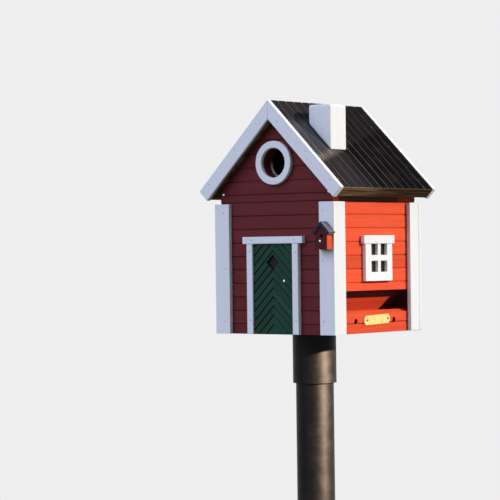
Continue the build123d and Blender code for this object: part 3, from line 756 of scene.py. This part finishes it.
FINISH = {
    "front_wall": "red_front",
    "back_wall": "red_back",
    "left_side_wall": "red_left",
    "right_side_wall": "red_right",
    "left_tray_board": "red_left",
    "right_tray_board": "red_tray",
    "left_hopper_board": "red_left",
    "right_hopper_board": "red_hopper",
    "mini_house_body": "red_small",
    "front_right_barge_board": "white_right_slope",
    "back_right_barge_board": "white_right_slope",
    "front_left_barge_board": "white_left_slope",
    "back_left_barge_board": "white_left_slope",
    "entrance_ring": "white_front",
    "door_lintel": "white_front",
    "left_window_lintel": "white_side",
    "right_window_lintel": "white_side",
    "left_window_frame": "white_frame",
    "right_window_frame": "white_frame",
    "left_roof_panel": "roof_left",
    "right_roof_panel": "roof_right",
    "mini_house_roof": "roof_small",
    "door_leaf": "green",
    "door_pane": "dark_pane",
    "floor_board": "bare_flat",
    "entrance_liner": "bare_front",
    "left_window_pane": "pane",
    "right_window_pane": "pane",
    "post_socket": "black_steel",
    "post_tube": "black_steel",
    "post_end_plug": "black_plastic",
    "door_knob": "bright_steel",
    "gable_screws": "bright_steel",
    "mini_house_perch": "bright_steel",
    "left_tray_screws": "zinc",
    "right_tray_screws": "zinc",
    "flange_screws": "zinc",
    "name_plate": "brass",
    "plate_pins": "brass_pin",
}
DEFAULT_FINISH = "white_upright"

# Widths of the eased edges, in millimetres
EASING = {
    "chimney": 2.2,
    "entrance_ring": 0.7,
    "mini_house_body": 0.4,
    "mini_house_roof": 0.4,
    "door_leaf": 0.25,
    "right_window_frame": 0.4,
    "left_window_frame": 0.4,
    "name_plate": 0.25,
    "door_knob": 0.5,
    "gable_screws": 0.5,
    "mini_house_perch": 0.4,
    "plate_pins": 0.2,
    "front_wall": 0.25,
    "back_wall": 0.25,
    "right_side_wall": 0.25,
    "left_side_wall": 0.25,
    "right_roof_panel": 0.35,
    "left_roof_panel": 0.35,
    "front_right_corner_board": 0.15,
    "front_left_corner_board": 0.15,
    "back_right_corner_board": 1.2,
    "back_left_corner_board": 0.15,
    "right_front_corner_board": 0.15,
    "right_back_corner_board": 0.8,
    "left_front_corner_board": 0.15,
    "left_back_corner_board": 0.15,
}
DEFAULT_EASING = 0.6
TURNED = {"post_tube", "post_end_plug", "post_socket"}
SHARP = {"left_window_pane", "right_window_pane", "door_pane"}
WIDE_EASING = 1.5
SEAM_GAP = 0.01 * MM
FLAT_ANGLE = math.radians(0.5)
EDGE_ANGLE = math.radians(35)


def close_seams(node):
    """Joins the doubled points along the seams, so that round surfaces shade evenly."""
    weld = node.modifiers.new("weld", "WELD")
    weld.merge_threshold = SEAM_GAP


def ease_edges(node, width):
    """Rounds the sharp edges of a CAD piece without touching its mesh."""
    close_seams(node)
    flatten = node.modifiers.new("flatten", "DECIMATE")
    flatten.decimate_type = "DISSOLVE"
    flatten.angle_limit = FLAT_ANGLE
    bevel = node.modifiers.new("bevel", "BEVEL")
    bevel.width = width * MM
    bevel.segments = 3 if width > WIDE_EASING else 2
    bevel.limit_method = "ANGLE"
    bevel.angle_limit = EDGE_ANGLE


for name, node in NODES.items():
    node.data.materials.clear()
    node.data.materials.append(MATERIALS[FINISH.get(name, DEFAULT_FINISH)])
    if name in TURNED:
        close_seams(node)
    elif name not in SHARP:
        ease_edges(node, EASING.get(name, DEFAULT_EASING))


# Small fasteners: the rings of a head from its foot up, as shares of its radius and height
HEAD_RINGS = [(1.0, 0.0), (1.0, 0.35), (0.86, 0.72), (0.5, 0.95)]
HEAD_SIDES = 14


def head_ring(mesh, seat, turn, radius, height):
    """The points of one ring of a head."""
    points = []
    for step in range(HEAD_SIDES):
        angle = 2 * math.pi * step / HEAD_SIDES
        local = Vector((radius * math.cos(angle), radius * math.sin(angle), height))
        points.append(mesh.verts.new(seat + turn @ local))
    return points


def add_head(mesh, seat, facing, radius, height):
    """A domed head that stands on its seat."""
    turn = facing.to_track_quat("Z", "Y").to_matrix()
    rings = [head_ring(mesh, seat, turn, across * radius, up * height) for across, up in HEAD_RINGS]
    crown = mesh.verts.new(seat + turn @ Vector((0, 0, height)))
    for lower, upper in zip(rings, rings[1:]):
        for step in range(HEAD_SIDES):
            following = (step + 1) % HEAD_SIDES
            mesh.faces.new((lower[step], lower[following], upper[following], upper[step]))
    for step in range(HEAD_SIDES):
        mesh.faces.new((rings[-1][step], rings[-1][(step + 1) % HEAD_SIDES], crown))
    mesh.faces.new(list(reversed(rings[0])))


def domes(name, seats, radius, height, material):
    """One mesh of small domed heads, each given by its seat and the direction it faces."""
    mesh = bmesh.new()
    for seat, facing in seats:
        add_head(mesh, seat, facing, radius, height)
    data = bpy.data.meshes.new(name)
    mesh.to_mesh(data)
    mesh.free()
    for face in data.polygons:
        face.use_smooth = True
    data.materials.append(MATERIALS[material])
    piece = bpy.data.objects.new(name, data)
    bpy.context.scene.collection.objects.link(piece)
    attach(piece, "root")


def roof_seats(back, steps):
    """Seats down both slopes: how far back from the middle, and how far from the ridge, in millimetres."""
    seats = []
    for down, out in ((RIGHT_DOWN, RIGHT_OUT), (LEFT_DOWN, LEFT_OUT)):
        for step in steps:
            seats.append((RIDGE + Y_AXIS * back * MM + down * step * MM, out))
    return seats


def face_seats(points, face_y, side):
    """Seats on the front or the back, given in millimetres across and up from the house's foot.

    The y of the front face is counted from the house's middle, and the back face mirrors it.
    """
    seats = []
    for x, z in points:
        seat = Vector((HOUSE.x + x * MM, HOUSE.y - side * face_y, HOUSE.z + z * MM))
        seats.append((seat, Y_AXIS * side))
    return seats


def brads(name, seats, height):
    domes(name, seats, BRAD_RADIUS, height, "brad")


FRONT = -1
BACK = 1
BARGE_BRADS = [(-84.7, 168.4), (-47.9, 206.2), (-17.2, 233.8), (13.2, 234.6), (51.4, 200.7), (84.6, 168.5)]
CORNER_BRADS = [(-70.7, 135.4), (-68.1, 72.8), (-70.4, 13.2), (67.8, 135.5), (67.0, 81.2), (68.1, 14.8)]
JAMB_BRADS = [(-33.1, 92.3), (-32.5, 15.4), (30.5, 90.6), (30.6, 15.0)]
LINTEL_BRADS = [(-30.7, 104.6), (28.9, 104.4)]
BRAD_RADIUS = 0.70 * MM
BRAD_HEIGHT = 0.25 * MM
FLUSH = 0.02 * MM

# The roof's nails: how far they stand in front of and behind the middle, and how far down the slopes
NAILS_ALONG = 70
BACK_NAILS_DOWN = (36.5, 69, 104, 137)
FRONT_NAILS_DOWN = (35, 69, 104, 137)
NAIL_RADIUS = 0.9 * MM
BACK_NAIL_HEIGHT = 0.5 * MM
FRONT_NAIL_HEIGHT = 0.1 * MM

# The two heads in the gable, and the dark discs round them, which are painted shadow
SCREW_RADIUS = 1.8 * MM
SCREW_SHADOW_RADIUS = 2.7 * MM
SCREW_SHADOW_HEIGHT = 0.08 * MM

barge_y = barge_low.y - HOUSE.y
corner_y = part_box("front_left_corner_board")[0].y - HOUSE.y
jamb_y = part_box("left_door_jamb")[0].y - HOUSE.y
lintel_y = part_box("door_lintel")[0].y - HOUSE.y
back_nails = roof_seats(NAILS_ALONG, BACK_NAILS_DOWN)
front_nails = roof_seats(-NAILS_ALONG, FRONT_NAILS_DOWN)
corner_seats = face_seats(CORNER_BRADS, corner_y, FRONT) + face_seats(CORNER_BRADS, corner_y, BACK)
screw_low, screw_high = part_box("gable_screws")
screw_z = (screw_low.z + screw_high.z) / 2
screw_shadow_seats = []
for screw_x in (screw_low.x + SCREW_RADIUS, screw_high.x - SCREW_RADIUS):
    screw_shadow_seats.append((Vector((screw_x, front_low.y, screw_z)), -Y_AXIS))

domes("roof_nails_back", back_nails, NAIL_RADIUS, BACK_NAIL_HEIGHT, "roof_nail")
domes("roof_nails_front", front_nails, NAIL_RADIUS, FRONT_NAIL_HEIGHT, "black_steel")
# Dark discs of painted shadow round the gable's screw heads.
domes("gable_screw_shadows", screw_shadow_seats, SCREW_SHADOW_RADIUS, SCREW_SHADOW_HEIGHT, "black_plastic")
brads("barge_brads", face_seats(BARGE_BRADS, barge_y, FRONT), FLUSH)
brads("corner_brads", corner_seats, BRAD_HEIGHT)
brads("jamb_brads", face_seats(JAMB_BRADS, jamb_y, FRONT), BRAD_HEIGHT)
brads("lintel_brads", face_seats(LINTEL_BRADS, lintel_y, FRONT), BRAD_HEIGHT)

# Camera, at the photograph's viewpoint
FOCAL_PIXELS = 2174.38
FRAME_PIXELS = 500
SENSOR = 36.0
CAMERA_FROM_HOUSE = Vector((1472.8, -1987.3, 92.25)) * MM
HEADING = math.radians(38.359)
PITCH = 0.000655
ROLL = 0.012605


def make_camera():
    data = bpy.data.cameras.new("camera")
    data.sensor_width = SENSOR
    data.lens = FOCAL_PIXELS * SENSOR / FRAME_PIXELS
    data.clip_start = 0.05
    data.clip_end = 50
    camera = bpy.data.objects.new("camera", data)
    bpy.context.scene.collection.objects.link(camera)
    level = Vector((-math.sin(HEADING), math.cos(HEADING), 0))
    right = Vector((math.cos(HEADING), math.sin(HEADING), 0))
    forward = level * math.cos(PITCH) + Z_AXIS * math.sin(PITCH)
    up = Z_AXIS * math.cos(PITCH) - level * math.sin(PITCH)
    turned_right = right * math.cos(ROLL) - up * math.sin(ROLL)
    turned_up = up * math.cos(ROLL) + right * math.sin(ROLL)
    turn = Matrix((turned_right, turned_up, -forward)).transposed()
    camera.matrix_world = Matrix.Translation(HOUSE + CAMERA_FROM_HOUSE) @ turn.to_4x4()
    bpy.context.scene.camera = camera


# Light: a soft cool sky and fill from the front, and a warm key from the photograph's sunny side
BACKDROP = (0.86, 0.86, 0.86)
SKY_ABOVE = (0.34, 0.40, 0.52)
SKY_BELOW = (0.075, 0.075, 0.07)
HORIZON = (-0.2, 0.25)
KEY_COLOUR = (1.0, 0.945, 0.85)
KEY_STRENGTH = 3.8
KEY_FROM = Vector((1.0, 0.65, 0.54))
KEY_ANGLE = 4.0
FILL_COLOUR = (0.66, 0.73, 1.0)
FILL_STRENGTH = 1.95
FILL_FROM = Vector((-0.35, -1.0, 0.7))
FILL_ANGLE = 60.0

# The strip lamp on the right, which faces the post's collar 30 mm under the house
SHEEN_COLOUR = (1.0, 0.70, 0.50)
SHEEN_POWER = 3300.0
SHEEN_BEARING = math.radians(5.0)
SHEEN_DISTANCE = 2.5
SHEEN_HEIGHT = 1.50
SHEEN_SIZE = (0.80, 0.06)
COLLAR = Vector((0, 0, HOUSE.z - 30 * MM))

# The floor: it is darker for the light that it throws back than for the camera
FLOOR_RADIUS = 3.2
FLOOR_SIDES = 96
FLOOR_FADE = (0.5, 0.8 * FLOOR_RADIUS)
FLOOR_ROUGHNESS = 0.9
FLOOR_COLOUR = (0.78, 0.78, 0.78)
FLOOR_BOUNCE = (0.12, 0.12, 0.11)


def seen_rays(nodes):
    """1 for camera, glossy and transmission rays, and 0 for the rays that carry diffuse light."""
    path = nodes.add("ShaderNodeLightPath")
    seen = path.outputs["Is Camera Ray"]
    for kind in ("Is Glossy Ray", "Is Transmission Ray"):
        seen = nodes.math("MAXIMUM", seen, path.outputs[kind])
    return seen


def make_world():
    """Sky light from above and a little from below, and a pale backdrop for the camera and reflections."""
    world = bpy.data.worlds.new("sky")
    bpy.context.scene.world = world
    world.use_nodes = True
    nodes = Nodes(world.node_tree)
    nodes.tree.nodes.clear()
    direction = nodes.add("ShaderNodeTexCoord").outputs["Generated"]
    rise = nodes.ramp(nodes.dot(direction, Z_AXIS), *HORIZON)
    light = nodes.plain("ShaderNodeBackground", nodes.mix(rise, SKY_BELOW, SKY_ABOVE))
    backdrop = nodes.plain("ShaderNodeBackground", BACKDROP)
    output = nodes.add("ShaderNodeOutputWorld")
    nodes.feed(output.inputs["Surface"], nodes.blend(seen_rays(nodes), light, backdrop))


def make_sun(name, colour, strength, direction, angle):
    """A sun in the given direction, which is seen under an angle in degrees."""
    data = bpy.data.lights.new(name, "SUN")
    data.energy = strength
    data.color = colour
    data.angle = math.radians(angle)
    lamp = bpy.data.objects.new(name, data)
    lamp.rotation_mode = "QUATERNION"
    lamp.rotation_quaternion = direction.to_track_quat("Z", "Y")
    bpy.context.scene.collection.objects.link(lamp)


def make_sheen():
    """A strip lamp on the right for the long highlight down the post and its collar, and for nothing else."""
    data = bpy.data.lights.new("sheen", "AREA")
    data.shape = "RECTANGLE"
    data.size, data.size_y = SHEEN_SIZE
    data.energy = SHEEN_POWER
    data.color = SHEEN_COLOUR
    lamp = bpy.data.objects.new("sheen", data)
    bearing = Vector((math.cos(SHEEN_BEARING), math.sin(SHEEN_BEARING), 0))
    lamp.location = bearing * SHEEN_DISTANCE + Z_AXIS * SHEEN_HEIGHT
    lamp.rotation_mode = "QUATERNION"
    lamp.rotation_quaternion = (lamp.location - COLLAR).to_track_quat("Z", "Y")
    lamp.visible_camera = False
    lamp.visible_diffuse = False
    receivers = bpy.data.collections.new("sheen_receivers")
    for name in ("post_tube", "post_socket"):
        receivers.objects.link(NODES[name])
    lamp.light_linking.receiver_collection = receivers
    bpy.context.scene.collection.objects.link(lamp)


def floor_paint():
    """A pale matt floor that fades into the backdrop away from the post."""
    shader = Shader("floor", specular=0.0)
    seen = seen_rays(shader)
    shader.feed(shader.bsdf.inputs["Base Color"], shader.mix(seen, FLOOR_BOUNCE, FLOOR_COLOUR))
    shader.feed(shader.bsdf.inputs["Roughness"], FLOOR_ROUGHNESS)
    length = shader.add("ShaderNodeVectorMath", operation="LENGTH")
    shader.feed(length.inputs[0], shader.place)
    fade = shader.ramp(length.outputs["Value"], *FLOOR_FADE)
    glow = shader.plain("ShaderNodeEmission", BACKDROP)
    surface = shader.blend(shader.times(fade, seen), shader.bsdf.outputs[0], glow)
    shader.feed(shader.tree.nodes["Material Output"].inputs["Surface"], surface)
    return shader.material


def make_floor():
    """A disc that keeps the shadow near the post."""
    mesh = bmesh.new()
    bmesh.ops.create_circle(mesh, cap_ends=True, segments=FLOOR_SIDES, radius=FLOOR_RADIUS)
    data = bpy.data.meshes.new("floor")
    mesh.to_mesh(data)
    mesh.free()
    data.materials.append(floor_paint())
    floor = bpy.data.objects.new("floor", data)
    bpy.context.scene.collection.objects.link(floor)


make_camera()
make_world()
make_sun("key", KEY_COLOUR, KEY_STRENGTH, KEY_FROM, KEY_ANGLE)
make_sun("fill", FILL_COLOUR, FILL_STRENGTH, FILL_FROM, FILL_ANGLE)
make_sheen()
make_floor()
bpy.context.scene.view_settings.view_transform = "Standard"
